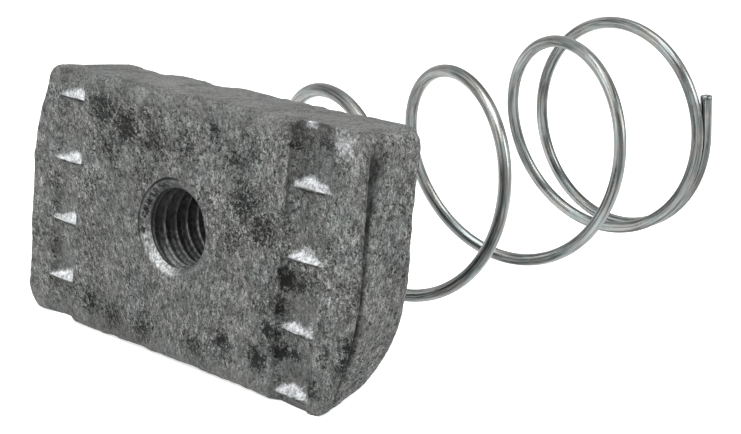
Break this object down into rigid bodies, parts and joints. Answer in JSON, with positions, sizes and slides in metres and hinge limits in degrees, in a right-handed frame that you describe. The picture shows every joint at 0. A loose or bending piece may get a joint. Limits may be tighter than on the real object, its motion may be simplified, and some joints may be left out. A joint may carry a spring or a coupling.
{
  "type": "strut spring nut",
  "caption": "Flat steel nut with struck teeth across both ends, two opposite corners rounded for turning, a central threaded hole, and a long open wire spring fixed on its back.",
  "frame": {"origin": "middle of the threaded hole, on its axis, halfway through the nut", "axes": "+X along the nut's length, across the channel; -Y out of the toothed face, the way the bolt leaves; +Y to the spring's free end; +Z along the channel, and up as it lies on its long side"},
  "size_m": [0.035, 0.0558, 0.0248],
  "materials": {
    "galvanised_steel": "hot-dip galvanised, dull and mottled grey",
    "plated_wire": "bright zinc-plated drawn wire"
  },
  "bodies": {
    "root": {"channel_nut": "galvanised_steel", "spring": "plated_wire"}
  },
  "joints": []
}
